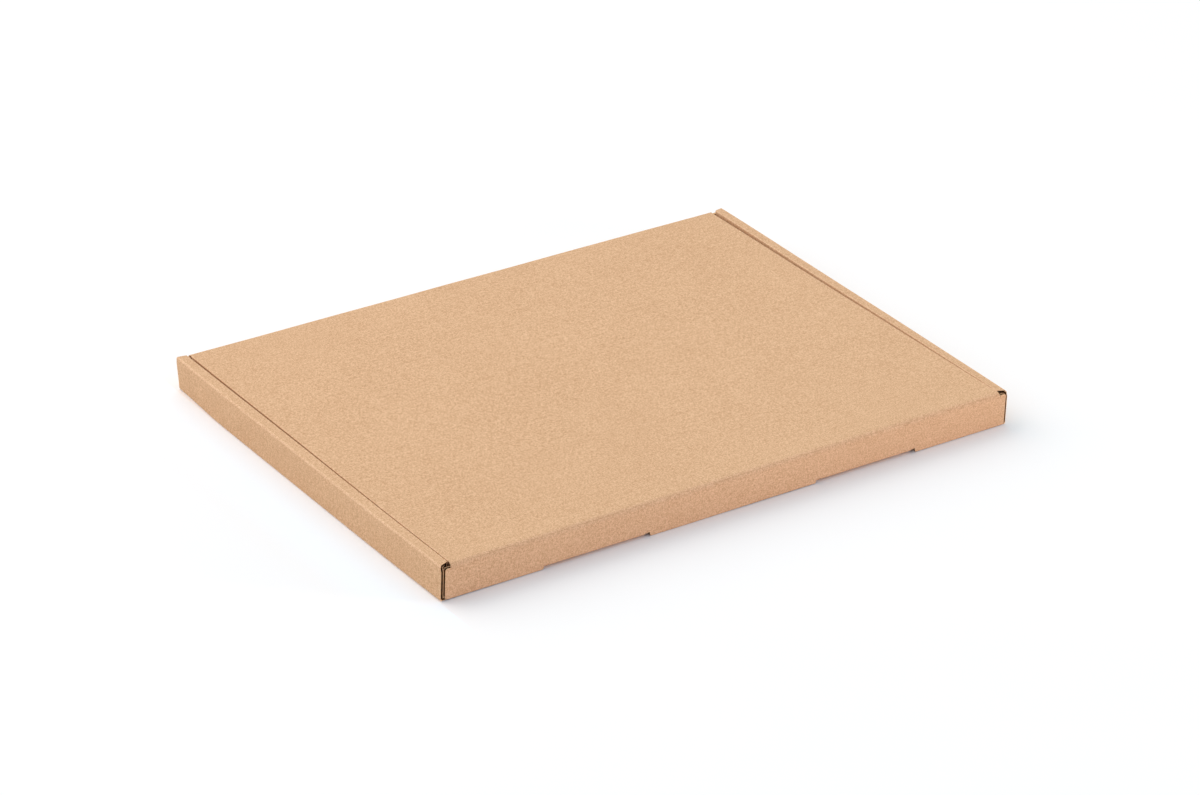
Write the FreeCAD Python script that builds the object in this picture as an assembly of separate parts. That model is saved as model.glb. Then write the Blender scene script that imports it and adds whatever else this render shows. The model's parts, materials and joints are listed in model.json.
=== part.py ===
"""Closed mailing box of thin corrugated board, folded from one die-cut sheet.

Lengths are millimetres. The box lies on its base with +Z up, the long side
along X and the tucked front flap facing -Y. The origin is the middle of the
underside. The board keeps one thickness everywhere; every fold is a bend of
that board, and the layers that only lie against each other keep a clearance.
"""
import FreeCAD, Part
import math
import os

Vector = FreeCAD.Vector

# Overall box, measured over the outside of the board.
length = 350.0
depth = 254.0
height = 19.5
board = 1.6

# Folds: a pressed crease turns tightly, the lid creases stay softer.
crease_radius = 2.1
soft_radius = 3.0
hinge_radius = 2.0

# Clearances between layers.
layer_gap = 0.25
pocket_gap = 0.3
lid_gap = 1.0
tongue_gap = 0.3
tab_gap = 0.3

# Rolled short sides.
band_width = 5.4
wall_end_inset = 0.3
band_end_inset = 1.9
inner_end_inset = 0.25
tab_width = 34.0
tab_offset = 66.5
tab_end_gap = 0.15

# Long walls and the corner flaps folded from their ends.
front_wall_drop = 1.3
corner_relief = 3.9
corner_flap_length = 62.0
corner_flap_taper = 6.0
corner_flap_trim = 0.3

# Lid, its dust flaps and the hinge that sits a little lower than the rolled sides.
hinge_drop = 0.4
hinge_relief = 1.0
dust_flap_depth = 12.0
dust_flap_end = 8.0
dust_flap_taper = 7.0

# Front flap that hangs outside the front wall.
flap_inset = 2.1
flap_floor_gap = 0.4
flap_corner_radius = 1.4
ear_drop = 2.0
ear_inset = 6.7
ear_radius = 1.2

# Two tongues that tuck from the flap into slots above the base crease.
tongue_width = 58.0
tongue_offset = 83.5
tongue_reach = 16.0
tongue_taper = 5.0
tongue_relief = 2.0
relief_height = 1.3
edge_step = 1.8
slot_side_gap = 2.5

half_length = length / 2
half_depth = depth / 2
front_wall_face = -half_depth + board + layer_gap
front_wall_top = height - board - front_wall_drop
pocket_face = half_length - board - pocket_gap
wall_end = pocket_face - crease_radius
inner_face = half_length - band_width
lid_edge = inner_face - lid_gap
tongue_under = board + tongue_gap
base_fold_end = half_length - corner_relief - crease_radius

PLANES = {
    "YZ": (Vector(0, 1, 0), Vector(0, 0, 1), Vector(1, 0, 0)),
    "XZ": (Vector(1, 0, 0), Vector(0, 0, 1), Vector(0, 1, 0)),
    "XY": (Vector(1, 0, 0), Vector(0, 1, 0), Vector(0, 0, 1)),
}


def point_in(plane, point, along):
    first, second, sweep = PLANES[plane]
    return first * point.x + second * point.y + sweep * along


def left_of(direction):
    return Vector(-direction.y, direction.x, 0)


def leaf(plane, outline, low, high):
    """Flat shape with a straight-sided outline, swept from low to high."""
    corners = [point_in(plane, Vector(a, b, 0), low) for a, b in outline]
    face = Part.Face(Part.makePolygon(corners + corners[:1]))
    return face.extrude(PLANES[plane][2] * (high - low))


def flat_run(plane, start, end, span):
    """Flat panel whose outer face runs from start to end."""
    inward = left_of((end - start).normalize()) * board
    outline = [start, end, end + inward, start + inward]
    return leaf(plane, [(p.x, p.y) for p in outline], span[0], span[1])


class Fold:
    """Bend of the board around the corner between two outer faces."""

    def __init__(self, before, corner, after, radius):
        arriving = (corner - before).normalize()
        leaving = (after - corner).normalize()
        turn = arriving.getAngle(leaving)
        reach = radius * math.tan(turn / 2)
        self.radius = radius
        self.start = corner - arriving * reach
        self.end = corner + leaving * reach
        self.centre = self.start + left_of(arriving) * radius
        self.middle = (corner - self.centre).normalize()

    def arc_points(self, radius):
        out = (self.start - self.centre).normalize() * radius
        last = (self.end - self.centre).normalize() * radius
        return [self.centre + out, self.centre + self.middle * radius, self.centre + last]

    def solid(self, plane, span):
        outer = [point_in(plane, p, span[0]) for p in self.arc_points(self.radius)]
        inner = [point_in(plane, p, span[0]) for p in self.arc_points(self.radius - board)]
        edges = [
            Part.Arc(*outer).toShape(),
            Part.LineSegment(outer[2], inner[2]).toShape(),
            Part.Arc(inner[2], inner[1], inner[0]).toShape(),
            Part.LineSegment(inner[0], outer[0]).toShape(),
        ]
        face = Part.Face(Part.Wire(edges))
        return face.extrude(PLANES[plane][2] * (span[1] - span[0]))


def folds_along(corners, radii):
    """Folds at the inner corners of a strip of outer faces."""
    points = [Vector(a, b, 0) for a, b in corners]
    inner = range(1, len(points) - 1)
    return [Fold(points[i - 1], points[i], points[i + 1], radii[i - 1]) for i in inner]


def even(reach):
    return (-reach, reach)


def rounded(solid, plane, spots, radius):
    """Round the cut corners of a flat leaf at the given spots."""
    first, second, sweep = PLANES[plane]
    chosen = []
    for edge in solid.Edges:
        start, end = edge.Vertexes[0].Point, edge.Vertexes[-1].Point
        if abs((end - start).normalize().dot(sweep)) < 0.99:
            continue
        here = (start.dot(first), start.dot(second))
        if any(math.dist(here, spot) < 0.01 for spot in spots):
            chosen.append(edge)
    return solid.makeFillet(radius, chosen)


def mirrored(solid, normal):
    return solid.mirror(Vector(0, 0, 0), normal)


def main_folds():
    """Folds met going round the box from the front wall to the tongues."""
    corners = [
        (front_wall_face, front_wall_top),
        (front_wall_face, 0),
        (half_depth, 0),
        (half_depth, height - hinge_drop),
        (-half_depth, height),
        (-half_depth, tongue_under),
        (-half_depth + tongue_reach, tongue_under),
    ]
    radii = [crease_radius, crease_radius, hinge_radius, soft_radius, crease_radius]
    return folds_along(corners, radii)


def base_and_walls(folds):
    """Base panel with the front and back walls that rise from it."""
    front, back, hinge = folds[0], folds[1], folds[2]
    wall_top = Vector(front_wall_face, front_wall_top, 0)
    return [
        flat_run("YZ", wall_top, front.start, even(wall_end)),
        front.solid("YZ", even(base_fold_end)),
        flat_run("YZ", front.end, back.start, even(half_length - crease_radius)),
        back.solid("YZ", even(base_fold_end)),
        flat_run("YZ", back.end, hinge.start, even(wall_end)),
    ]


def corner_flap(face, sign, low, high):
    """Flap folded from the right end of a long wall into the side pocket.

    The wall stands with its outer face at Y = face; sign is +1 for the
    front wall and -1 for the back wall.
    """
    tip = -abs(face) + corner_flap_length
    corners = [(0, -abs(face)), (pocket_face, -abs(face)), (pocket_face, tip)]
    fold = folds_along(corners, [crease_radius])[0]
    inner = pocket_face - board
    outline = [
        (fold.end.y, low),
        (tip, low + corner_flap_taper / 2),
        (tip, high - corner_flap_taper / 2),
        (fold.end.y, high),
    ]
    panel = leaf("YZ", outline, inner, pocket_face)
    flap = [fold.solid("XY", (low, high)), panel]
    return flap if sign > 0 else [mirrored(piece, Vector(0, 1, 0)) for piece in flap]


def corner_flaps(folds):
    low = crease_radius + corner_flap_trim
    front = corner_flap(front_wall_face, 1, low, front_wall_top - corner_flap_trim)
    back = corner_flap(half_depth, -1, low, folds[2].start.y - corner_flap_trim)
    return front + back


def side_wall():
    """Right short side: outer wall, top band and inner wall with lock tabs."""
    inner_foot = board + layer_gap
    corners = [
        (0, 0),
        (half_length, 0),
        (half_length, height),
        (inner_face, height),
        (inner_face, inner_foot),
    ]
    low, outer, inner = folds_along(corners, [crease_radius] * 3)
    wall_reach = half_depth - wall_end_inset
    band_reach = half_depth - band_end_inset
    inner_start = front_wall_face + board + inner_end_inset
    inner_end = half_depth - board - inner_end_inset
    foot = Vector(inner_face, inner_foot, 0)
    pieces = [
        low.solid("XZ", even(wall_reach)),
        flat_run("XZ", low.end, outer.start, even(wall_reach)),
        outer.solid("XZ", even(band_reach)),
        flat_run("XZ", outer.end, inner.start, even(band_reach)),
        inner.solid("XZ", even(band_reach)),
        flat_run("XZ", inner.end, foot, (inner_start, inner_end)),
    ]
    tab_foot = Vector(inner_face, tab_end_gap, 0)
    for middle in (-tab_offset, tab_offset):
        span = (middle - tab_width / 2, middle + tab_width / 2)
        pieces.append(flat_run("XZ", foot, tab_foot, span))
    return pieces


def tab_slots():
    """Slots in the base that take the lock tabs of the right inner wall."""
    slots = []
    for middle in (-tab_offset, tab_offset):
        reach = tab_width / 2 + tab_gap
        outline = [
            (inner_face - tab_gap, middle - reach),
            (inner_face + board + tab_gap, middle - reach),
            (inner_face + board + tab_gap, middle + reach),
            (inner_face - tab_gap, middle + reach),
        ]
        slots.append(leaf("XY", outline, -board, board + layer_gap / 2))
    return slots


def lid(folds):
    """Lid panel between the hinge fold and the front fold."""
    hinge, front = folds[2], folds[3]
    fold_reach = lid_edge - hinge_relief
    return [
        hinge.solid("YZ", even(fold_reach)),
        flat_run("YZ", hinge.end, front.start, even(lid_edge - crease_radius)),
        front.solid("YZ", even(fold_reach)),
    ]


def lid_side(folds):
    """Right edge of the lid with the dust flap that tucks down beside it.

    It is drawn with the lid level at its front height and then tipped to
    the slope that the lower hinge gives it.
    """
    front_corner = Vector(0, -half_depth, height)
    slope = math.degrees(math.atan2(hinge_drop, depth))
    lid_length = math.hypot(hinge_drop, depth)
    front_reach = (folds[3].start - Vector(-half_depth, height, 0)).Length
    hinge_reach = (folds[2].end - Vector(half_depth, height - hinge_drop, 0)).Length
    first = -half_depth + front_reach
    last = -half_depth + lid_length - hinge_reach
    flap_start = -half_depth + dust_flap_end
    flap_end = -half_depth + lid_length - dust_flap_end
    corners = [(lid_edge, 0), (lid_edge, height), (0, height)]
    fold = folds_along(corners, [crease_radius])[0]
    foot = height - dust_flap_depth
    outline = [
        (flap_start, fold.start.y),
        (flap_start + dust_flap_taper, foot),
        (flap_end - dust_flap_taper, foot),
        (flap_end, fold.start.y),
    ]
    top_inner = height - board
    edge_low = lid_edge - crease_radius
    pieces = [
        fold.solid("XZ", (flap_start, flap_end)),
        leaf("YZ", outline, lid_edge - board, lid_edge),
        leaf("YZ", [(first, top_inner), (flap_start, top_inner),
                    (flap_start, height), (first, height)], edge_low, lid_edge),
        leaf("YZ", [(flap_end, top_inner), (last, top_inner),
                    (last, height), (flap_end, height)], edge_low, lid_edge),
    ]
    for piece in pieces:
        piece.rotate(front_corner, Vector(1, 0, 0), -slope)
    return pieces


def flap_outline(folds):
    """Right half of the front flap, seen from the front, as (X, Z) corners."""
    edge = half_length - flap_inset
    ear_top = height - ear_drop
    fold_line = folds[3].end.y
    ear_start = half_length - ear_inset
    tongue_top = folds[4].start.y
    relief_top = tongue_under + relief_height
    near = tongue_offset - tongue_width / 2
    far = tongue_offset + tongue_width / 2
    return [
        (0, flap_floor_gap),
        (near - tongue_relief - edge_step, flap_floor_gap),
        (near - tongue_relief, tongue_under),
        (near - tongue_relief, relief_top),
        (near, relief_top),
        (near, tongue_top),
        (far, tongue_top),
        (far, relief_top),
        (far + tongue_relief, relief_top),
        (far + tongue_relief, tongue_under),
        (far + tongue_relief + edge_step, flap_floor_gap),
        (edge, flap_floor_gap),
        (edge, ear_top),
        (ear_start, ear_top),
        (ear_start, fold_line),
        (0, fold_line),
    ]


def half_flap(folds):
    """Right half of the front flap with its tongue."""
    outer, inner = -half_depth, -half_depth + board
    edge = half_length - flap_inset
    panel = leaf("XZ", flap_outline(folds), outer, inner)
    panel = rounded(panel, "XZ", [(edge, flap_floor_gap)], flap_corner_radius)
    panel = rounded(panel, "XZ", [(edge, height - ear_drop)], ear_radius)
    near = tongue_offset - tongue_width / 2
    far = tongue_offset + tongue_width / 2
    root = folds[4].end.x
    tip = -half_depth + tongue_reach
    outline = [
        (near, root),
        (far, root),
        (far - tongue_taper, tip),
        (near + tongue_taper, tip),
    ]
    tongue = leaf("XY", outline, tongue_under, tongue_under + board)
    return [panel, folds[4].solid("YZ", (near, far)), tongue]


def tongue_slot():
    """Slot through the front wall that the right tongue passes."""
    reach = tongue_width / 2 + slot_side_gap
    low = board
    high = tongue_under + board + tongue_gap
    outline = [
        (tongue_offset - reach, low),
        (tongue_offset + reach, low),
        (tongue_offset + reach, high),
        (tongue_offset - reach, high),
    ]
    start = front_wall_face - layer_gap / 2
    return leaf("XZ", outline, start, front_wall_face + crease_radius)


def both_sides(pieces):
    return pieces + [mirrored(piece, Vector(1, 0, 0)) for piece in pieces]


def joined(pieces):
    return pieces[0].multiFuse(pieces[1:]).removeSplitter()


def folded_box():
    folds = main_folds()
    tray = joined(base_and_walls(folds))
    tray = tray.cut(both_sides(tab_slots() + [tongue_slot()]))
    flaps = both_sides(corner_flaps(folds) + side_wall())
    cover = lid(folds) + both_sides(lid_side(folds) + half_flap(folds))
    return joined([tray] + flaps + cover).Solids[0]


os.makedirs("parts", exist_ok=True)
folded_box().exportStep("parts/folded_box.step")
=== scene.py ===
# %% [markdown]
# # A closed mailing box, folded from one sheet
# The object is a shallow box of brown corrugated board. One flat sheet is cut out, creased
# and folded up: the lid hinges on the far long side, its front flap hangs outside the front
# wall, and two tongues on that flap are tucked into slots near the base. Each short side is
# rolled over, so it shows a narrow flat band beside the lid.
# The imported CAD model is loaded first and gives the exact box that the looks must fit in.

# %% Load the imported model
import json
import math

import bmesh
import bpy
from mathutils import Euler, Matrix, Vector

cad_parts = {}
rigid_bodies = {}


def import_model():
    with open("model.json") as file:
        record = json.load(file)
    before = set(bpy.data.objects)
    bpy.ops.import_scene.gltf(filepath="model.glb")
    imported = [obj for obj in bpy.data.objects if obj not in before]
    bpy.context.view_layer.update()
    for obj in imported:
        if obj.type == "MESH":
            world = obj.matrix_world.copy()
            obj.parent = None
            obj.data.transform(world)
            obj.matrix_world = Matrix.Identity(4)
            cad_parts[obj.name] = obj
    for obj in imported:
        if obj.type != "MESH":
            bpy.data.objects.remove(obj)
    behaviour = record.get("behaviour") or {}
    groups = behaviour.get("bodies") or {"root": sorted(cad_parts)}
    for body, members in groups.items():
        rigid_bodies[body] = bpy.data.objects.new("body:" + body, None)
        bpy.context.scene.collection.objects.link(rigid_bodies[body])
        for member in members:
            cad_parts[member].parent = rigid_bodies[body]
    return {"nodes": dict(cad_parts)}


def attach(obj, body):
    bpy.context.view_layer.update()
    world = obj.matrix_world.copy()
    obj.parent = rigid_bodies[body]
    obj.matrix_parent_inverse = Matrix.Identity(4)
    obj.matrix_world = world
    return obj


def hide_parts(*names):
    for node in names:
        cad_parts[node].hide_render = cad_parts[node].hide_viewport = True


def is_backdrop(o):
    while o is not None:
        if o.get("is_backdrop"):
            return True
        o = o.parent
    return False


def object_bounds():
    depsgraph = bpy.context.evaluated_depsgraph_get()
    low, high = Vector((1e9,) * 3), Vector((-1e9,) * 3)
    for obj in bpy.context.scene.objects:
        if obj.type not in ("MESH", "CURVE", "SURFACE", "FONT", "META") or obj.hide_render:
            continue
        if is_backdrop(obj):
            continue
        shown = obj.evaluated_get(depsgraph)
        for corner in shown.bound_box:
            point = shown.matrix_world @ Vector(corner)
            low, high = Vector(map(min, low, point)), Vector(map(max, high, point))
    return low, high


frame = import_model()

cad_low, cad_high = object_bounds()
MM = 0.001
LENGTH, DEPTH, HEIGHT = ((cad_high - cad_low) / MM)[:]
print("CAD nodes:", *frame["nodes"])
print(f"CAD box {LENGTH:.1f} x {DEPTH:.1f} x {HEIGHT:.1f} mm")

# %% [markdown]
# ## Working by hand, in code
# In edit mode we select by eye. Here we select by place: a test is given the middle of each
# vertex, edge or face in millimetres and says whether it is wanted. Everything is deselected
# first, because an operator acts on all that is selected. Four more helpers stand for habits
# of the hand: scoring a sheet along a straight line, folding an edge out, moving what is
# selected, and cutting waste away. All lengths in this file are millimetres unless a comment
# says otherwise.

# %% Selecting by place
CLOSE = 0.06  # nearer than this counts as lying on a line
JUST = 0.1  # a hair past a line, to take it in or to leave it out


def near(value, *places):
    return any(abs(value - place) < CLOSE for place in places)


def choose(kind, test):
    """Select the parts of one kind whose middle, in millimetres, passes the test."""
    bpy.ops.mesh.select_mode(type=kind)
    bpy.ops.mesh.select_all(action="DESELECT")
    mesh = bmesh.from_edit_mesh(bpy.context.object.data)
    parts = {"VERT": mesh.verts, "EDGE": mesh.edges, "FACE": mesh.faces}[kind]
    count = 0
    for part in parts:
        corners = [part] if kind == "VERT" else part.verts
        middle = sum((v.co for v in corners), Vector()) / len(corners) / MM
        if test(*middle):
            part.select_set(True)
            count += 1
    mesh.select_flush_mode()
    return count


# %% Scoring, folding, moving and cutting
WELD = 0.01  # points nearer than this are one point


def score(test, axis, *places):
    """Cut straight lines across the faces that pass the test."""
    for place in places:
        choose("FACE", test)
        point, normal = Vector((0, 0, 0)), Vector((0, 0, 0))
        point[axis], normal[axis] = place * MM, 1
        bpy.ops.mesh.bisect(plane_co=point, plane_no=normal, threshold=WELD * MM)


def fold_out(test, x=0.0, y=0.0, z=0.0):
    """Extrude the chosen edges of the sheet by a distance."""
    count = choose("EDGE", test)
    way = (x * MM, y * MM, z * MM)
    bpy.ops.mesh.extrude_region_move(TRANSFORM_OT_translate={"value": way})
    return count


def shift(test, x=0.0, y=0.0, z=0.0):
    """Move the chosen vertices by a distance."""
    count = choose("VERT", test)
    bpy.ops.transform.translate(value=(x * MM, y * MM, z * MM))
    return count


def cut_away(test):
    """Delete the chosen faces."""
    count = choose("FACE", test)
    bpy.ops.mesh.delete(type="FACE")
    return count


# %% [markdown]
# ## The base of the sheet
# A real box starts as a flat die-cut sheet, so the model does too: a plane the size of the
# base. Scored lines mark where the corners are relieved, and the waste is cut away. The long
# walls start a little inside the short walls' ends, as on the real box, where the flap's
# thickness has to fit between them.

# %% Cut the base
BOARD = 1.6  # the board's thickness
LAYER_GAP = 0.25  # air between two layers that lie on each other
WALL_END = DEPTH / 2 - 0.3  # where the short walls end at the back
FRONT_WALL = -DEPTH / 2 + BOARD + LAYER_GAP  # the front wall stands behind the flap
SIDE_TAB = LENGTH / 2 - 2.5  # from here outwards the base carries the short walls
WALL_REACH = LENGTH / 2 - 3.5  # where the long walls end
RELIEF = 1.65  # how deep the relief between the two is cut

bpy.ops.object.select_all(action="DESELECT")
bpy.ops.mesh.primitive_plane_add(size=1, location=(0, 0, 0))
sheet = bpy.context.object
sheet.name = "folded_sheet"
bpy.ops.object.mode_set(mode="EDIT")
bpy.ops.transform.resize(value=(LENGTH * MM, (WALL_END + DEPTH / 2) * MM, 1))
bpy.ops.transform.translate(value=(0, (DEPTH / 2 - WALL_END) / 2 * MM, 0))
everywhere = lambda x, y, z: True
score(everywhere, 0, -SIDE_TAB, SIDE_TAB, -WALL_REACH, WALL_REACH)
score(lambda x, y, z: abs(x) < SIDE_TAB, 1,
      FRONT_WALL, FRONT_WALL + RELIEF, DEPTH / 2 - RELIEF)
score(lambda x, y, z: abs(x) > SIDE_TAB, 1, WALL_END)
cut_away(lambda x, y, z: y < FRONT_WALL and abs(x) < SIDE_TAB)
cut_away(lambda x, y, z: y > WALL_END and abs(x) > SIDE_TAB)
relieved = cut_away(lambda x, y, z: WALL_REACH < abs(x) < SIDE_TAB
                    and not FRONT_WALL + RELIEF < y < DEPTH / 2 - RELIEF)
print("corner reliefs cut:", relieved)

# %% [markdown]
# ## The long walls
# Each wall is folded up from an edge of the base. The front wall stops below the lid, and
# the back wall stops at the hinge, which lies a little lower than the rolled sides. The
# corner flaps at their ends turn into the pockets inside the short sides. An extruded edge is
# the nearest thing to a fold: the new panel shares its crease with the old one.

# %% Fold up the long walls
FRONT_TOP = HEIGHT - BOARD - 1.3  # leaves room for the lid's soft front fold
HINGE = HEIGHT - 0.4
front_edges = fold_out(lambda x, y, z: near(y, FRONT_WALL) and abs(x) < WALL_REACH,
                       z=FRONT_TOP)
back_edges = fold_out(lambda x, y, z: near(y, DEPTH / 2) and near(z, 0)
                      and abs(x) < WALL_REACH, z=HINGE)
is_front_wall = lambda x, y, z: near(y, FRONT_WALL) and z > JUST
is_back_wall = lambda x, y, z: near(y, DEPTH / 2) and z > JUST
print("edges folded up in front and at the back:", front_edges, back_edges)

# %% Turn the corner flaps into their pockets
POCKET = LENGTH / 2 - BOARD - 0.3  # the outer side of the pocket in a short side
FLAP_FOOT, CORNER_FLAP = 2.4, 60.0  # height over the floor and length of a corner flap
BACK_TOP = HEIGHT - BOARD - 0.35  # the back corner flaps end under the band
score(is_front_wall, 2, FLAP_FOOT)
score(is_back_wall, 2, FLAP_FOOT, BACK_TOP)
corner_flaps = 0
for side in (-1, 1):
    for wall, inward, top in ((FRONT_WALL, 1, FRONT_TOP), (DEPTH / 2, -1, BACK_TOP)):
        fold_out(lambda x, y, z: near(x, side * WALL_REACH) and near(y, wall)
                 and FLAP_FOOT < z < top, x=side * (POCKET - WALL_REACH))
        corner_flaps += fold_out(lambda x, y, z: near(x, side * POCKET) and near(y, wall)
                                 and z > FLAP_FOOT, y=inward * CORNER_FLAP)
print("corner flaps:", corner_flaps)

# %% [markdown]
# ## The rolled short sides
# Outer wall, band and inner wall are one run of board folded three times. The ends of the
# band are cut back on a slant, which leaves the small dark hole at each front corner, and so
# is the outer wall's front end near the top. Below the band the inner wall is a little
# shorter, to clear the long walls. It stands on the base, and two lock tabs on its lower edge
# drop into slots.

# %% Roll over the short sides
BAND = 5.4  # its width on top
INNER = LENGTH / 2 - BAND
INNER_FOOT = BOARD + LAYER_GAP  # the inner wall stands on the base
for side in (-1, 1):
    fold_out(lambda x, y, z: near(x, side * LENGTH / 2) and near(z, 0), z=HEIGHT)
    fold_out(lambda x, y, z: near(x, side * LENGTH / 2) and near(z, HEIGHT), x=-side * BAND)
    fold_out(lambda x, y, z: near(x, side * INNER) and near(z, HEIGHT), z=INNER_FOOT - HEIGHT)
on_outer = lambda x, y, z: near(abs(x), LENGTH / 2)
on_inner = lambda x, y, z: near(abs(x), INNER)
is_inner = lambda x, y, z: on_inner(x, y, z) and z > INNER_FOOT
print("inner walls start", BAND, "mm inside the ends")

# %% Cut back the ends of the rolled sides
CORNER_CUT, CORNER_CUT_LOW = 1.1, HEIGHT - 3.2
FRONT_BAND_CUT, BACK_BAND_CUT = 3.3, 1.0
CLEAR_LEVEL, FRONT_CLEAR, BACK_CLEAR = BACK_TOP + 0.1, 0.5, 0.9
score(on_outer, 2, CORNER_CUT_LOW)
shift(lambda x, y, z: on_outer(x, y, z) and near(z, HEIGHT) and y < 0, y=CORNER_CUT)
shift(lambda x, y, z: on_inner(x, y, z) and y < 0, y=FRONT_BAND_CUT)
shift(lambda x, y, z: on_inner(x, y, z) and y > 0, y=-BACK_BAND_CUT)
score(is_inner, 2, CLEAR_LEVEL)
under_band = lambda x, y, z: on_inner(x, y, z) and z < CLEAR_LEVEL + JUST
moved = shift(lambda x, y, z: under_band(x, y, z) and y < 0, y=FRONT_CLEAR)
moved += shift(lambda x, y, z: under_band(x, y, z) and y > 0, y=-BACK_CLEAR)
print("corners cut back below the band:", moved)

# %% Fold down the lock tabs
TAB_MIDDLE, TAB_HALF, TAB_FOOT = 66.5, 17.0, 0.15
score(is_inner, 1, *[s * TAB_MIDDLE + t * TAB_HALF for s in (-1, 1) for t in (-1, 1)])
on_tab = lambda y: abs(abs(y) - TAB_MIDDLE) < TAB_HALF
tabs = fold_out(lambda x, y, z: on_inner(x, y, z) and near(z, INNER_FOOT) and on_tab(y),
                z=TAB_FOOT - INNER_FOOT)
print("lock tabs:", tabs)

# %% Cut the slots for the lock tabs
SLOT_GAP = 0.3
slot_ends = [s * TAB_MIDDLE + t * (TAB_HALF + SLOT_GAP) for s in (-1, 1) for t in (-1, 1)]
slot_sides = [s * p for s in (-1, 1) for p in (INNER - SLOT_GAP, INNER + BOARD + SLOT_GAP)]
is_base = lambda x, y, z: near(z, 0)
score(is_base, 0, *slot_sides)
score(lambda x, y, z: is_base(x, y, z) and abs(x) > INNER - SLOT_GAP, 1, *slot_ends)
base_slots = cut_away(lambda x, y, z: is_base(x, y, z) and on_tab(y)
                      and INNER - SLOT_GAP < abs(x) < INNER + BOARD + SLOT_GAP)
print("slots for them:", base_slots)

# %% [markdown]
# ## A side that has sprung out
# On the right the folded board pushes back, so the inner wall leans outwards, more in front
# than at the back. Only its upper edge moves. The level just under the band follows almost as
# far, which keeps the lean from turning into a dent.

# %% Lean the right inner wall
RIGHT_FRONT_LEAN, RIGHT_BACK_LEAN = 1.1, 0.4
UNDER_SHARE = 0.9
for end, lean in ((-1, RIGHT_FRONT_LEAN), (1, RIGHT_BACK_LEAN)):
    for level, share in ((HEIGHT, 1.0), (CLEAR_LEVEL, UNDER_SHARE)):
        moved = shift(lambda x, y, z: near(x, INNER) and y * end > 0 and near(z, level),
                      x=lean * share)
        print(f"{moved} vertices leaned by {lean * share:.2f} mm")

# %% [markdown]
# ## The lid and its dust flaps
# The lid carries on from the back wall. It lies between the bands with a thin gap each side
# and slopes down a little to the hinge. Its dust flaps tuck down beside the inner walls. A
# lid folded by hand never lies quite true: in front both gaps are hairlines, and towards the
# hinge they open, the right one more than the left.

# %% Fold the lid over
LID_SIDE = INNER - 1.5  # a gap of 1.5 mm each side, before the corners are set
slope = lambda y: HEIGHT - (y + DEPTH / 2) * (HEIGHT - HINGE) / DEPTH
is_lid = lambda x, y, z: near(z, slope(y)) and abs(x) < LID_SIDE + JUST
score(is_back_wall, 0, -LID_SIDE, LID_SIDE)
cut_away(lambda x, y, z: is_back_wall(x, y, z) and z > BACK_TOP and abs(x) > LID_SIDE)
hinge_edges = fold_out(lambda x, y, z: near(y, DEPTH / 2) and near(z, HINGE)
                       and abs(x) < LID_SIDE, y=-DEPTH, z=HEIGHT - HINGE)
print("hinge edges:", hinge_edges)

# %% Fold the dust flaps down
DUST_START, DUST_END, DUST_DEPTH, DUST_TAPER = -123.6, 124.6, 12.0, 7.0
score(is_lid, 1, DUST_START, DUST_END)
dust_flaps = fold_out(lambda x, y, z: near(abs(x), LID_SIDE) and is_lid(x, y, z)
                      and DUST_START < y < DUST_END, z=-DUST_DEPTH)
for end in (-1, 1):
    shift(lambda x, y, z: near(abs(x), LID_SIDE) and near(z, slope(y) - DUST_DEPTH)
          and y * end > 0, y=-end * DUST_TAPER)
print("dust flaps:", dust_flaps)

# %% Set the lid's corners and lean the dust flaps in
LEFT_GAP, RIGHT_GAP, RIGHT_BACK_GAP = 0.35, 0.25, 2.7
LID_LEFT = LEFT_GAP - INNER
LID_RIGHT = INNER + RIGHT_FRONT_LEAN - RIGHT_GAP
LID_RIGHT_BACK = INNER + RIGHT_BACK_LEAN - RIGHT_BACK_GAP
LOW_PARTS = 5.0  # feet, tabs and slots all lie below this
for side, end, edge in ((-1, -1, LID_LEFT), (1, -1, LID_RIGHT), (1, 1, LID_RIGHT_BACK)):
    shift(lambda x, y, z: near(x, side * LID_SIDE) and y * end > 0 and z > LOW_PARTS,
          x=edge - side * LID_SIDE)
DUST_LEAN, DUST_ZONE = 2.5, 3.0
for side in (-1, 1):
    shift(lambda x, y, z: LOW_PARTS < z < HEIGHT - DUST_DEPTH + 2
          and LID_SIDE - DUST_ZONE < x * side < LID_RIGHT + JUST, x=-side * DUST_LEAN)
print(f"lid from {LID_LEFT:.2f} to {LID_RIGHT:.2f}, at the back {LID_RIGHT_BACK:.2f}")

# %% [markdown]
# ## The front flap and its tongues
# The flap hangs from the lid's front edge, a little wider than the lid: the extra width is a
# short ear at each end. Its lower edge is stepped up where the two tongues turn inwards, with
# a relief notch beside each tongue, and the lower corners are rounded.

# %% Hang the front flap
FRONT = -DEPTH / 2
FLAP_LEFT, FLAP_RIGHT, FLAP_LOW = -LENGTH / 2 + 2.1, LENGTH / 2 - 1.2, 0.15
EAR_SPLIT, EAR_TOP = 16.0, HEIGHT - 2.0  # an ear's foot and top
EAR_ROOM, RIGHT_EAR_RISE = 0.12, 0.8  # air beside the lid, and the right ear's extra height
is_flap = lambda x, y, z: near(y, FRONT)
fold_out(lambda x, y, z: is_flap(x, y, z) and near(z, HEIGHT) and LID_LEFT < x < LID_RIGHT,
         z=FLAP_LOW - HEIGHT)
score(is_flap, 2, EAR_SPLIT)
for lid_end, flap_end in ((LID_LEFT, FLAP_LEFT), (LID_RIGHT, FLAP_RIGHT)):
    fold_out(lambda x, y, z: near(x, lid_end) and is_flap(x, y, z) and z < EAR_SPLIT,
             x=flap_end - lid_end)
in_ear = lambda x: x < LID_LEFT - EAR_ROOM or x > LID_RIGHT + EAR_ROOM
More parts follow.
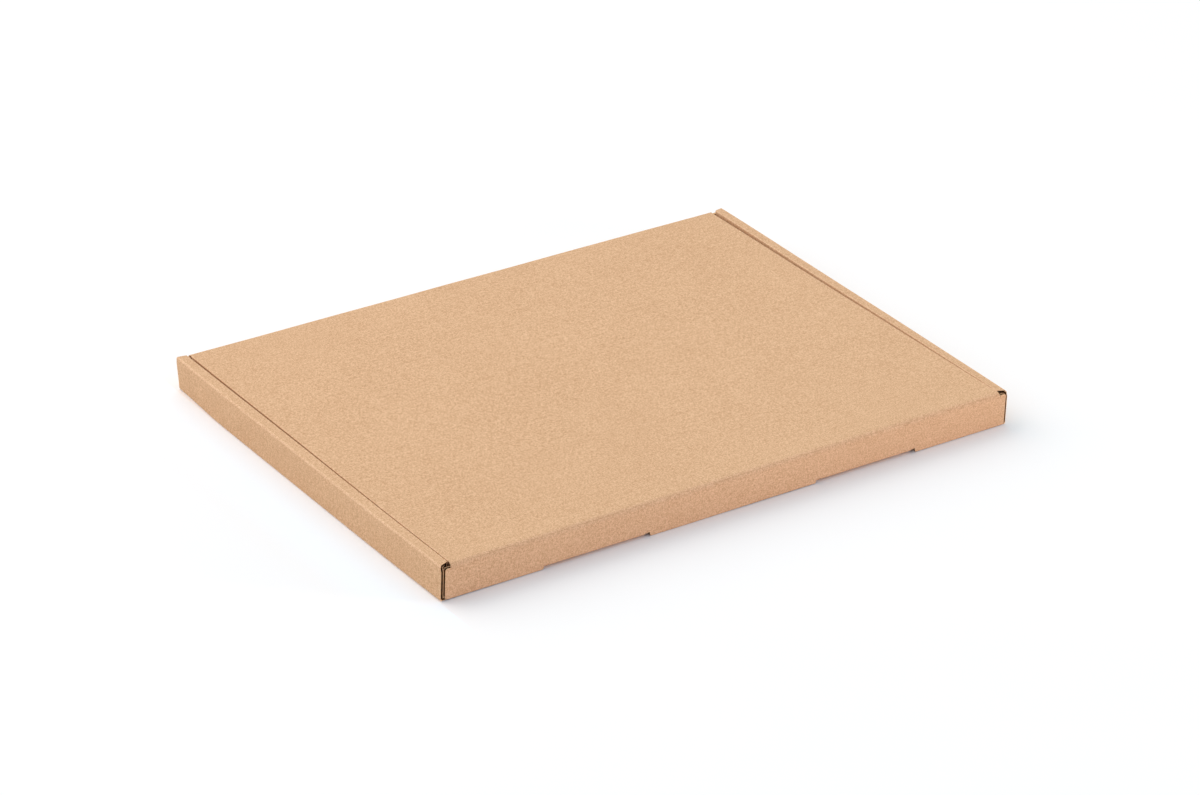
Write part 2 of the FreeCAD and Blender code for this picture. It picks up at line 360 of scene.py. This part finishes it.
score(lambda x, y, z: is_flap(x, y, z) and not LID_LEFT < x < LID_RIGHT, 0,
      LID_LEFT - EAR_ROOM, LID_RIGHT + EAR_ROOM)
ears = fold_out(lambda x, y, z: is_flap(x, y, z) and near(z, EAR_SPLIT) and in_ear(x),
                z=EAR_TOP - EAR_SPLIT)
shift(lambda x, y, z: is_flap(x, y, z) and near(z, EAR_TOP) and x > LID_RIGHT,
      z=RIGHT_EAR_RISE)
print("ears:", ears)

# %% Cut the tongues
TONGUE_MIDDLE, TONGUE_HALF = 83.5, 29.0
NOTCH, STEP = 2.8, 0.5  # width of a notch, and of the slant beside it
TONGUE_LOW, NOTCH_TOP = 1.5, 2.4
tongue_places = [s * TONGUE_MIDDLE + t * (TONGUE_HALF + extra)
                 for s in (-1, 1) for t in (-1, 1) for extra in (0, NOTCH, NOTCH + STEP)]
score(is_flap, 0, *tongue_places)
score(lambda x, y, z: is_flap(x, y, z) and abs(x) < LID_SIDE, 2, TONGUE_LOW, NOTCH_TOP)
from_tongue = lambda x: abs(abs(x) - TONGUE_MIDDLE) - TONGUE_HALF
notches = cut_away(lambda x, y, z: is_flap(x, y, z) and 0 < from_tongue(x) < NOTCH
                   and z < NOTCH_TOP)
cut_away(lambda x, y, z: is_flap(x, y, z) and from_tongue(x) < 0 and z < TONGUE_LOW)
shift(lambda x, y, z: is_flap(x, y, z) and near(from_tongue(x), NOTCH) and near(z, FLAP_LOW),
      z=TONGUE_LOW - FLAP_LOW)
choose("VERT", everywhere)
bpy.ops.mesh.remove_doubles(threshold=2 * WELD * MM)
print("faces cut out for the notches:", notches)

# %% Fold the tongues in
TONGUE_REACH, TONGUE_RISE = 14.0, 1.1
tongues = fold_out(lambda x, y, z: is_flap(x, y, z) and near(z, TONGUE_LOW)
                   and from_tongue(x) < 0, y=TONGUE_REACH)
shift(lambda x, y, z: near(y, FRONT + TONGUE_REACH) and near(z, TONGUE_LOW), z=TONGUE_RISE)
print("tongue edges folded in:", tongues)

# %% Cut the slots that the tongues pass through
SLOT_HALF, SLOT_LOW, SLOT_HIGH = TONGUE_HALF + 2.5, 1.45, 3.9  # wider than its tongue
score(is_front_wall, 0, *[s * TONGUE_MIDDLE + t * SLOT_HALF for s in (-1, 1) for t in (-1, 1)])
score(is_front_wall, 2, SLOT_LOW, SLOT_HIGH)
wall_slots = cut_away(lambda x, y, z: is_front_wall(x, y, z) and SLOT_LOW < z < SLOT_HIGH
                      and abs(abs(x) - TONGUE_MIDDLE) < SLOT_HALF)
print("faces cut out for the slots:", wall_slots)

# %% Round the flap's corners
CORNER_ROUND, EAR_ROUND, ROUND_STEPS = 1.4, 1.2, 4
at_flap_end = lambda x, y, z: is_flap(x, y, z) and near(x, FLAP_LEFT, FLAP_RIGHT)
for levels, radius in (((FLAP_LOW,), CORNER_ROUND),
                       ((EAR_TOP, EAR_TOP + RIGHT_EAR_RISE), EAR_ROUND)):
    rounded = choose("VERT", lambda x, y, z: at_flap_end(x, y, z) and near(z, *levels))
    bpy.ops.mesh.bevel(affect="VERTICES", offset=radius * MM, segments=ROUND_STEPS)
    print(rounded, "corners rounded by", radius, "mm")

# %% [markdown]
# ## From sheet to board
# The sheet is divided so that it can later wave a little, all its faces are turned to point
# out of the box, and a Solidify modifier grows the board's thickness inwards. The new edge
# faces get a material slot of their own, which makes them easy to find again.

# %% Divide the sheet
WAVE_STEP, FOLD_ROOM = 13.0, 9.0  # distance of the lines, and none this near a long fold
for axis, reach in ((0, LENGTH / 2), (1, DEPTH / 2)):
    steps = int((reach - FOLD_ROOM) / WAVE_STEP)
    score(everywhere, axis, *[WAVE_STEP * i for i in range(-steps, steps + 1)])
sheet_faces = choose("FACE", everywhere)
bpy.ops.mesh.dissolve_degenerate(threshold=WELD * MM)
bpy.ops.mesh.delete_loose(use_verts=True, use_edges=True, use_faces=False)
print("faces of the sheet:", sheet_faces)

# %% Turn the faces outwards
LEVEL = 0.9  # a normal's height from which its face counts as level
choose("FACE", everywhere)
bpy.ops.mesh.normals_make_consistent(inside=False)
lid_faces = [face for face in bmesh.from_edit_mesh(sheet.data).faces
             if is_lid(*(face.calc_center_median() / MM)) and abs(face.normal.z) > LEVEL]
upward = sum(face.normal.z > 0 for face in lid_faces)
if upward < len(lid_faces) / 2:
    bpy.ops.mesh.flip_normals()
bpy.ops.object.mode_set(mode="OBJECT")
print("lid faces", len(lid_faces), "of which pointed up", upward)

# %% Give the board its thickness
KRAFT, CUT, FLUTING_WITH_SHADE, CREASE_HIGHLIGHT = 0, 1, 2, 3
for name in ("kraft liner", "liner cut edge", "fluting paper with painted shade", "creased kraft liner with painted highlight"):
    sheet.data.materials.append(bpy.data.materials.new(name))
thicken = sheet.modifiers.new("board thickness", "SOLIDIFY")
thicken.thickness = BOARD * MM
thicken.offset = -1
thicken.use_even_offset = True
thicken.use_quality_normals = True
thicken.material_offset_rim = CUT
bpy.ops.object.modifier_apply(modifier=thicken.name)
print("faces of the board:", len(sheet.data.polygons))

# %% [markdown]
# ## Board pressed thin in a pocket
# Where the right inner wall leans out, it presses on the corner flaps in the pocket behind
# it, and corrugated board gives way: its flutes are crushed. The flaps' inner faces are moved
# outwards, so that the two layers lie beside each other and don't cut through each other.

# %% Press the right corner flaps thinner
FRONT_PRESS, BACK_PRESS = 0.75, 0.4
bpy.ops.object.mode_set(mode="EDIT")
for end, press in ((-1, FRONT_PRESS), (1, BACK_PRESS)):
    pressed = shift(lambda x, y, z: near(x, POCKET - BOARD) and y * end > 0
                    and z > FRONT_TOP - 1, x=press)
    print(pressed, "vertices pressed by", press, "mm")

# %% [markdown]
# ## Rounding the folds
# A crease in corrugated board is not a knife edge. The flutes are crushed along it, and the
# outer paper goes round in a small curve. The lid's front fold is the softest and its hinge
# fold comes next. The edges beside the two gap lines are the sharpest.
# A fold is found by its angle: an outer edge where two paper faces meet steeply. Bevel then
# rounds it, and the new faces of the tight and gap folds get the creased paper, whose paler
# tone is partly the fibres broken in the fold and partly a painted highlight along it.

# %% Find a fold
FOLD_ANGLE = math.radians(50)


def choose_folds(test):
    """Select the outward folds between two paper faces that pass the test."""
    bpy.ops.mesh.select_mode(type="EDGE")
    bpy.ops.mesh.select_all(action="DESELECT")
    mesh = bmesh.from_edit_mesh(sheet.data)
    count = 0
    for edge in mesh.edges:
        if len(edge.link_faces) != 2 or any(f.material_index != KRAFT for f in edge.link_faces):
            continue
        middle = (edge.verts[0].co + edge.verts[1].co) / 2 / MM
        if edge.is_convex and edge.calc_face_angle() > FOLD_ANGLE and test(*middle):
            edge.select_set(True)
            count += 1
    return count


# %% Round the folds
SOFT_FOLD, HINGE_FOLD, TIGHT_FOLD, GAP_FOLD = 2.8, 1.6, 0.85, 0.45
GAP_IN, GAP_OUT, GAP_DROP, GAP_END = 5.0, 1.5, 1.0, 126.0
over_lid = lambda x, y, z: abs(x) < POCKET and z > HINGE - JUST
is_soft = lambda x, y, z: over_lid(x, y, z) and near(y, FRONT)
is_hinge = lambda x, y, z: over_lid(x, y, z) and near(y, DEPTH / 2)
beside_gap = lambda x, y, z: (INNER - GAP_IN < abs(x) < INNER + GAP_OUT
                              and z > HINGE - GAP_DROP and abs(y) < GAP_END)
is_tight = lambda x, y, z: not (is_soft(x, y, z) or is_hinge(x, y, z) or beside_gap(x, y, z))
for name, fold, radius, steps in (("gap", beside_gap, GAP_FOLD, 3),
                                  ("tight", is_tight, TIGHT_FOLD, 4),
                                  ("front", is_soft, SOFT_FOLD, 8),
                                  ("hinge", is_hinge, HINGE_FOLD, 6)):
    print(name, "fold edges:", choose_folds(fold))
    bpy.ops.mesh.bevel(affect="EDGES", offset=radius * MM, segments=steps, clamp_overlap=False)
    # the rounded faces of these folds get the creased paper, paler partly as a painted highlight
    if name in ("gap", "tight"):
        sheet.active_material_index = CREASE_HIGHLIGHT
        bpy.ops.object.material_slot_assign()

# %% [markdown]
# ## Liners and flutes at the cut edges
# Corrugated board is two flat papers with a wavy one between. Where it is cut, the papers
# stand as two thin bright lines with a dark hollow between them. The edge faces are inset by
# the paper's thickness and the middle is pushed in. The lid's own corners stay whole, because
# the bevels there leave no room for a hollow.

# %% Hollow the cut edges
PAPER, HOLLOW = 0.32, 0.9  # the liner's thickness, drawn a little thick, and the depth
LID_CORNER, LID_CORNER_LOW = 110.0, 7.0
SMOOTH_ANGLE = math.radians(35)


def is_lid_corner(x, y, z):
    return -INNER < x < INNER + 1 and abs(y) > LID_CORNER and z > LID_CORNER_LOW


bpy.ops.mesh.select_mode(type="FACE")
bpy.ops.mesh.select_all(action="DESELECT")
mesh = bmesh.from_edit_mesh(sheet.data)
for face in mesh.faces:
    middle = face.calc_center_median() / MM
    face.select_set(face.material_index == CUT and not is_lid_corner(*middle))
mesh.select_flush_mode()
bpy.ops.mesh.inset(thickness=PAPER * MM, depth=0, use_even_offset=False)
bpy.ops.mesh.extrude_region_shrink_fatten(
    TRANSFORM_OT_shrink_fatten={"value": -HOLLOW * MM})
# the hollow and the rim around it get the fluting paper, whose dark tone is partly painted shade
# inside the cut
bpy.ops.mesh.select_more()
sheet.active_material_index = FLUTING_WITH_SHADE
bpy.ops.object.material_slot_assign()
bpy.ops.object.mode_set(mode="OBJECT")
bpy.ops.object.shade_smooth_by_angle(angle=SMOOTH_ANGLE)
print("faces with hollow edges:", len(sheet.data.polygons))

# %% [markdown]
# ## A board that is not quite flat
# Real board bows a little and its folds wander by a few tenths of a millimetre. Three
# Displace modifiers, each with one soft cloud texture, move the whole sheet along X, Y and Z.
# The clouds are far larger than the gaps, so layers that touch move together.

# %% Let the board wander
bpy.ops.object.select_all(action="DESELECT")
sheet.select_set(True)
bpy.context.view_layer.objects.active = sheet
for axis, amount, size in (("X", 0.3, 70), ("Y", 0.3, 85), ("Z", 0.35, 60)):
    clouds = bpy.data.textures.new(f"slow bow along {axis}", "CLOUDS")
    clouds.noise_scale = size * MM
    clouds.noise_depth = 0
    bow = sheet.modifiers.new(f"bow along {axis}", "DISPLACE")
    bow.texture = clouds
    bow.texture_coords = "LOCAL"
    bow.direction = axis
    bow.strength = amount * MM
    bow.mid_level = 0.5
    bpy.ops.object.modifier_apply(modifier=bow.name)
    print(f"bowed by up to {amount / 2:.2f} mm along {axis}")

# %% [markdown]
# ## Walls that lean and swell
# In the photo the far lower corner of the left wall stands in a little, and both short walls
# swell outwards, because the rolled board inside them pushes. Proportional editing does both:
# one end or the middle is moved and its neighbourhood follows less and less. What must stay
# put is hidden first, since hidden vertices aren't moved.

# %% Lean the far end of the left wall
LEAN, LEAN_REACH = 1.5, 45.0
END_ZONE, FOOT_ZONE = 3.0, 3.0
bpy.ops.object.mode_set(mode="EDIT")
choose("VERT", lambda x, y, z: z > LOW_PARTS)
bpy.ops.mesh.hide(unselected=False)
leaned = choose("VERT", lambda x, y, z: x < -LENGTH / 2 + 1 and y > WALL_END - END_ZONE
                and z < FOOT_ZONE)
bpy.ops.transform.translate(value=(LEAN * MM, 0, 0), use_proportional_edit=True,
                            proportional_edit_falloff="SMOOTH", proportional_size=LEAN_REACH * MM)
bpy.ops.mesh.reveal(select=False)
print(leaned, "vertices lead the lean")

# %% Let the short walls belly out a little
BELLY, BELLY_REACH, BELLY_HEART = 0.9, 128.0, 15.0
choose("VERT", lambda x, y, z: abs(x) < LENGTH / 2 - BOARD - 0.2)
bpy.ops.mesh.hide(unselected=False)
for side in (-1, 1):
    led = choose("VERT", lambda x, y, z: x * side > 0 and abs(y) < BELLY_HEART)
    bpy.ops.transform.translate(value=(side * BELLY * MM, 0, 0), use_proportional_edit=True,
                                proportional_edit_falloff="SPHERE",
                                proportional_size=BELLY_REACH * MM)
    print(led, "vertices lead the belly")
bpy.ops.mesh.reveal(select=False)
bpy.ops.object.mode_set(mode="OBJECT")

# %% [markdown]
# ## Back into the CAD box
# All this bending has moved the outside by a few tenths of a millimetre. The object is scaled
# and moved in edit mode, so that the mesh itself fits the CAD box with a hair to spare.

# %% Fit it back into the CAD box
FIT = 0.02
corners = [sheet.matrix_world @ Vector(corner) for corner in sheet.bound_box]
low = Vector([min(c[i] for c in corners) for i in range(3)])
high = Vector([max(c[i] for c in corners) for i in range(3)])
margin = Vector((FIT * MM, FIT * MM, FIT * MM))
ratio = [(cad_high - cad_low - 2 * margin)[i] / (high - low)[i] for i in range(3)]
bpy.ops.object.mode_set(mode="EDIT")
bpy.ops.mesh.select_all(action="SELECT")
bpy.ops.transform.translate(value=-(low + high) / 2)
bpy.ops.transform.resize(value=ratio, center_override=(0, 0, 0))
bpy.ops.transform.translate(value=(cad_low + cad_high) / 2)
bpy.ops.object.mode_set(mode="OBJECT")
print("fitted by", [round(r, 4) for r in ratio])

# %% [markdown]
# ## Kraft paper
# Unbleached kraft liner is pressed from long brown wood fibres. The eye sees soft clouds where
# the pulp is denser, a fine salt-and-pepper grain, short pale and dark fibres, and a few
# specks of bark. The flutes below show through as a very faint washboard, one wave for every
# 3.6 millimetres, running along the long side: a slight bump, with the light and shade of its
# ripples also painted faintly into the colour. The shade of the groove pressed along the lid's
# front fold is painted as a fine dark line. All of it comes from the object's own coordinates
# in millimetres, so nothing stretches round a fold.

# %% Node helpers


def linear(hex_colour):
    """An sRGB hex colour as the linear values that a shader needs."""
    parts = [int(hex_colour[i:i + 2], 16) / 255 for i in (1, 3, 5)]
    return [p / 12.92 if p <= 0.04045 else ((p + 0.055) / 1.055) ** 2.4 for p in parts] + [1.0]


def add_node(tree, kind, inputs, **settings):
    """Add a node, choose its settings, and link or set its inputs."""
    node = tree.nodes.new("ShaderNode" + kind)
    for name, value in settings.items():
        setattr(node, name, value)
    for key, value in inputs.items():
        if isinstance(value, bpy.types.NodeSocket):
            tree.links.new(value, node.inputs[key])
        else:
            node.inputs[key].default_value = value
    return node


def sums(tree, operation, first, second=0.0):
    """One step of arithmetic."""
    return add_node(tree, "Math", {0: first, 1: second}, operation=operation).outputs[0]


def clamped(tree, value):
    """Keep a value between 0 and 1."""
    return add_node(tree, "Clamp", {0: value}).outputs[0]


def tinted(tree, share, first, second):
    """Mix two colours by a share. A Mix node has its two colours at inputs 6 and 7."""
    return add_node(tree, "Mix", {0: share, 6: first, 7: second}, data_type="RGBA").outputs[2]


def millimetres(tree, where):
    """The object's own coordinates, turned from metres into millimetres."""
    return add_node(tree, "VectorMath", {0: where.outputs["Object"], "Scale": 1 / MM},
                    operation="SCALE").outputs[0]


def clouds_of(tree, place, size, amount, detail=2.0, stretch=(1, 1, 1)):
    """Noise with blobs of a size in mm, as a small change around zero."""
    scaled = add_node(tree, "Mapping", {"Vector": place, "Scale": stretch}).outputs[0]
    noise = add_node(tree, "TexNoise", {"Vector": scaled, "Scale": 1 / size,
                                        "Detail": detail, "Roughness": 0.6}).outputs["Fac"]
    return sums(tree, "MULTIPLY", sums(tree, "SUBTRACT", noise, 0.5), amount)


# %% The washboard and the pressed groove, with painted light and shade
FLUTE_PITCH = 3.6
THREAD_SHARP = 3.0  # fades out in a third of a millimetre
# how far below the top the painted groove shade reaches, and how dark it is
THREAD_DROP, THREAD_SHADE = 3.0, 0.9


def flute_wave(tree, run):
    """A sine wave with one period for each flute."""
    return sums(tree, "SINE", sums(tree, "MULTIPLY", run, 2 * math.pi / FLUTE_PITCH))


def groove_shade_thread(tree, place, split):
    """Painted shade of the groove pressed along the lid's front fold: a fine dark line, broken up
    into stretches.
    """
    across = sums(tree, "ADD", sums(tree, "ADD", split[1], split[2]), DEPTH / 2 - HEIGHT)
    away = sums(tree, "MULTIPLY", sums(tree, "ABSOLUTE", across), THREAD_SHARP)
    thread = sums(tree, "MULTIPLY", clamped(tree, sums(tree, "SUBTRACT", 1.0, away)),
                  sums(tree, "GREATER_THAN", split[2], HEIGHT - THREAD_DROP))
    stretches = clamped(tree, sums(tree, "ADD", 0.45, clouds_of(tree, place, 25, 3.0)))
    return sums(tree, "MULTIPLY", sums(tree, "MULTIPLY", thread, stretches), THREAD_SHADE)


# %% Specks of bark
SPECK_SPACING, SPECK_SIZE = 7.0, 0.045  # one cell in mm, and a speck as a share of it
SPECK_SHARE, SPECK_DARK = 0.45, 0.3


def with_specks(tree, place, paper):
    """A few dark specks of bark, about one in each square centimetre."""
    bark = add_node(tree, "TexVoronoi", {"Vector": place, "Scale": 1 / SPECK_SPACING})
    near_speck = sums(tree, "LESS_THAN", bark.outputs["Distance"], SPECK_SIZE)
    chosen = add_node(tree, "SeparateXYZ", {0: bark.outputs["Color"]}).outputs[0]
    speck = sums(tree, "MULTIPLY", near_speck, sums(tree, "GREATER_THAN", chosen, SPECK_SHARE))
    return tinted(tree, sums(tree, "MULTIPLY", speck, SPECK_DARK), paper, linear("#6E4A2C"))


# %% Kraft liner
# strength of the washboard's painted light and shade, then of the grain's and the washboard's
# bumps
WASHBOARD_SHADE, GRAIN_BUMP, WAVE_BUMP = 0.035, 0.05, 0.02
FIBRE_SIZE, FIBRE, FIBRE_LONG = 0.35, 0.7, 0.17


def paint_kraft(material, pale, dark, along_fold=0.0):
    """Brown liner paper, mixed between a pale and a dark tone."""
    material.use_nodes = True
    tree = material.node_tree
    surface = tree.nodes["Principled BSDF"]
    where = add_node(tree, "TexCoord", {})
    place = millimetres(tree, where)
    split = add_node(tree, "SeparateXYZ", {0: place}).outputs
    # wide clouds of denser pulp, then smaller ones, so that no area is one flat tone
    tone = sums(tree, "ADD", clouds_of(tree, place, 45, 0.22), clouds_of(tree, place, 9, 0.2))
    # the salt-and-pepper grain that makes it look like paper from arm's length, drawn at
    # 0.75 mm, coarser than the real fibres, because finer grain is lost in a pixel
    grain = clouds_of(tree, place, 0.75, 3.1, detail=3.0)
    tone = sums(tree, "ADD", tone, grain)
    tone = sums(tree, "ADD", tone, clouds_of(tree, place, 1.7, 0.2))
    # short fibres, some lying one way and some the other
    for stretch in ((FIBRE_LONG, 1, 1), (1, FIBRE_LONG, FIBRE_LONG)):
        fibres = clouds_of(tree, place, FIBRE_SIZE, FIBRE, stretch=stretch)
        tone = sums(tree, "ADD", tone, fibres)
    # the flutes below: waves across Y, or up the walls that face along Y; their light and shade
    # is painted faintly into the colour here, and they also bump the surface below
    facing = add_node(tree, "SeparateXYZ", {0: where.outputs["Normal"]}).outputs[1]
    upright = sums(tree, "GREATER_THAN", sums(tree, "ABSOLUTE", facing), 0.5)
    run = add_node(tree, "Mix", {0: upright, 2: split[1], 3: split[2]}).outputs[0]
    wave = flute_wave(tree, run)
    tone = sums(tree, "ADD", tone, sums(tree, "MULTIPLY", wave, WASHBOARD_SHADE))
    # the lid's front fold was pressed along a line, and the shade of that groove is painted in
    # places as a dark thread
    tone = sums(tree, "SUBTRACT", tone, groove_shade_thread(tree, place, split))
    # where the paper goes round a fold its fibres break and lie paler and darker
    if along_fold:
        tone = sums(tree, "ADD", tone, clouds_of(tree, place, 1.2, along_fold, detail=3.0))
    balance = clamped(tree, sums(tree, "ADD", tone, 0.5))
    paper = tinted(tree, balance, linear(dark), linear(pale))
    tree.links.new(with_specks(tree, place, paper), surface.inputs["Base Color"])
    # paper tooth and the washboard catch the light a little
    height = sums(tree, "ADD", sums(tree, "MULTIPLY", grain, GRAIN_BUMP),
                  sums(tree, "MULTIPLY", wave, WAVE_BUMP))
    bump = add_node(tree, "Bump", {"Height": height, "Strength": 0.6, "Distance": MM})
    tree.links.new(bump.outputs[0], surface.inputs["Normal"])
    # uncoated paper is almost matt
    surface.inputs["Roughness"].default_value = 0.88
    surface.inputs["Specular IOR Level"].default_value = 0.25
    print(material.name, "has", len(tree.nodes), "nodes")


papers = dict(zip((KRAFT, CUT, FLUTING_WITH_SHADE, CREASE_HIGHLIGHT), sheet.data.materials))
paint_kraft(papers[KRAFT], "#E6C09B", "#C49A74")
# the creased paper is paler than the face: partly fibres broken in the fold, partly a painted
# highlight along the fold
paint_kraft(papers[CREASE_HIGHLIGHT], "#EFCBA8", "#CEA47F", along_fold=0.5)

# %% [markdown]
# ## Cut edges and fluting
# A knife leaves the liner's edge a little rougher and warmer than its face. The wavy paper
# inside is made of shorter, darker fibres and is painted darker still, as the shade inside the
# cut edge, and each flute is painted as a light and a dark stripe: the light and shade of its
# curve.

# %% Cut edge and fluting paper


def paint_edge(material, pale, dark, flute_shading, roughness):
    material.use_nodes = True
    tree = material.node_tree
    surface = tree.nodes["Principled BSDF"]
    place = millimetres(tree, add_node(tree, "TexCoord", {}))
    # torn fibres along the cut
    tone = sums(tree, "ADD", clouds_of(tree, place, 0.6, 1.4, detail=3.0),
                clouds_of(tree, place, 5.0, 0.8))
    # the flutes, standing one after another across the board, painted as light and shaded stripes
    split = add_node(tree, "SeparateXYZ", {0: place}).outputs
    wave = flute_wave(tree, sums(tree, "ADD", split[1], split[2]))
    tone = sums(tree, "ADD", tone, sums(tree, "MULTIPLY", wave, flute_shading))
    balance = clamped(tree, sums(tree, "ADD", tone, 0.5))
    tree.links.new(tinted(tree, balance, linear(dark), linear(pale)),
                   surface.inputs["Base Color"])
    surface.inputs["Roughness"].default_value = roughness
    surface.inputs["Specular IOR Level"].default_value = 0.2
    print(material.name, "has", len(tree.nodes), "nodes")


paint_edge(papers[CUT], "#E9C399", "#C79E74", 0.05, 0.92)
# the fluting paper is partly its own darker brown and partly painted shade inside the cut edge;
# its stripes are the painted light and shade of each flute
paint_edge(papers[FLUTING_WITH_SHADE], "#6E4320", "#3C220A", 0.4, 0.95)

# %% [markdown]
# ## The floor
# The box lies on white studio paper. The camera sees it almost pure white with the shadow of
# the box on it. For the light that it throws back at the box it is a plainer, greyer white,
# because a fully white floor would light the walls from below more than in the photo.

# %% Floor
FLOOR_SIZE = 12  # metres, so that its end is out of sight
bpy.ops.object.select_all(action="DESELECT")
bpy.ops.mesh.primitive_plane_add(size=FLOOR_SIZE, location=(0, 0, 0))
floor = bpy.context.object
floor.name = "floor"
paint = bpy.data.materials.new("white studio paper")
paint.use_nodes = True
tree = paint.node_tree
surface = tree.nodes["Principled BSDF"]
where = add_node(tree, "TexCoord", {}).outputs["Object"]
# faint pulp clouds, too pale to see as anything but white
pulp = add_node(tree, "TexNoise", {"Vector": where, "Scale": 9.0}).outputs["Fac"]
white = tinted(tree, pulp, linear("#F8F9FB"), linear("#FAFBFD"))
in_view = add_node(tree, "LightPath", {}).outputs["Is Camera Ray"]
tree.links.new(tinted(tree, in_view, linear("#E6E6E6"), white), surface.inputs["Base Color"])
surface.inputs["Roughness"].default_value = 0.95
surface.inputs["Specular IOR Level"].default_value = 0.0
floor.data.materials.append(paint)
floor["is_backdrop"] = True
print("floor of", FLOOR_SIZE, "m")

# %% [markdown]
# ## A tint that the photo doesn't have
# The sunny left wall throws a brown tint on the paper beside it, and a retouched product
# photo shows plain white there. A faint blue-green glow that only the camera sees evens it
# out. It lies beside that wall only and fades with the distance from it.

# %% Even out the tint beside the left wall
HALO_NEAR, HALO_FAR = 0.016, 0.042  # metres from the wall
HALO_COLOUR = (0.0, 0.06, 0.105, 1.0)
split = add_node(tree, "SeparateXYZ", {0: where}).outputs
aside = sums(tree, "SUBTRACT", -LENGTH / 2 * MM, split[0])
past_end = sums(tree, "MAXIMUM", sums(tree, "SUBTRACT", sums(tree, "ABSOLUTE", split[1]),
                                      DEPTH / 2 * MM))
away = sums(tree, "ADD", aside, past_end)
halo = add_node(tree, "MapRange", {"Value": away, "From Min": HALO_FAR, "From Max": HALO_NEAR},
                interpolation_type="SMOOTHSTEP").outputs[0]
halo = sums(tree, "MULTIPLY", halo, sums(tree, "GREATER_THAN", aside, 0.0))
surface.inputs["Emission Color"].default_value = HALO_COLOUR
tree.links.new(sums(tree, "MULTIPLY", halo, in_view), surface.inputs["Emission Strength"])
print("the glow ends", HALO_FAR / MM, "mm from the wall")

# %% [markdown]
# ## Light
# The studio is bright and even. Most of the light comes from all around, and the camera sees
# the surroundings as pure white. One large soft lamp behind and to the left gives the short
# shadow in front, and a small one in front on the right warms the flap.

# %% World
ROOM_LIGHT = 0.70
world = bpy.data.worlds.new("bright studio")
bpy.context.scene.world = world
world.use_nodes = True
tree = world.node_tree
surroundings = tree.nodes["Background"]
surroundings.inputs["Strength"].default_value = ROOM_LIGHT
# the light from behind the box is strong and a little green, that from the front weak and blue
sky = add_node(tree, "TexCoord", {}).outputs["Generated"]
ahead = add_node(tree, "SeparateXYZ", {0: sky}).outputs[1]
mood = add_node(tree, "MapRange", {"Value": ahead, "From Min": -1.0, "From Max": 1.0}).outputs[0]
light = add_node(tree, "Mix", {0: mood, 6: (0.54, 0.53, 0.74, 1), 7: (1.56, 1.86, 1.76, 1)},
                 data_type="RGBA", clamp_factor=True).outputs[2]
tree.links.new(light, surroundings.inputs["Color"])
backdrop = add_node(tree, "Background", {"Color": (1, 1, 1, 1), "Strength": 1.0})
ray = add_node(tree, "LightPath", {}).outputs["Is Camera Ray"]
both = add_node(tree, "MixShader", {0: ray, 1: surroundings.outputs[0], 2: backdrop.outputs[0]})
tree.links.new(both.outputs[0], tree.nodes["World Output"].inputs["Surface"])
print("world light", ROOM_LIGHT)


# %% Lamps
def softbox(name, place, size, power, colour):
    """A square lamp, its place and size in metres, that looks at the box."""
    bpy.ops.object.light_add(type="AREA", location=place)
    lamp = bpy.context.object
    lamp.name = name
    lamp.data.size = size
    lamp.data.energy = power
    lamp.data.color = colour
    lamp.rotation_euler = (-Vector(place)).to_track_quat("-Z", "Y").to_euler()
    print(name, power, "W")


softbox("key softbox", (-1.2, 1.8, 1.8), 2.8, 48, colour=(1.0, 0.69, 0.55))
softbox("fill softbox", (1.3, -1.3, 0.2), 0.35, 15.6, colour=(1.0, 0.77, 0.62))

# %% [markdown]
# ## Camera
# The camera's place, direction and lens were solved from the seven corners of the box that
# the photo shows, so that each corner falls where it does there, to about a pixel. The focal
# length came out in pixels of the photo, and is turned into millimetres for a sensor 36 mm
# wide.

# %% Camera
SENSOR, PHOTO_WIDTH, FOCAL_PIXELS = 36, 1200, 4621.45
STAND = (-1.22545, -1.72855, 1.13611)  # metres
TURN = (61.905, -1.8515, -34.4727)  # degrees
bpy.ops.object.camera_add(location=STAND)
camera = bpy.context.object
camera.rotation_euler = Euler([math.radians(a) for a in TURN])
camera.data.sensor_width = SENSOR
camera.data.lens = FOCAL_PIXELS / PHOTO_WIDTH * SENSOR
bpy.context.scene.camera = camera
bpy.context.scene.view_settings.view_transform = "Standard"
print(f"lens {camera.data.lens:.1f} mm")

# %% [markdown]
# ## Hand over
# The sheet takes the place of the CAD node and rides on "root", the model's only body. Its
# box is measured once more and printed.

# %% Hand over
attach(sheet, "root")
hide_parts("folded_box")
low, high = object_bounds()
print("visual box in mm:", [round(v / MM, 2) for v in (*low, *high)])
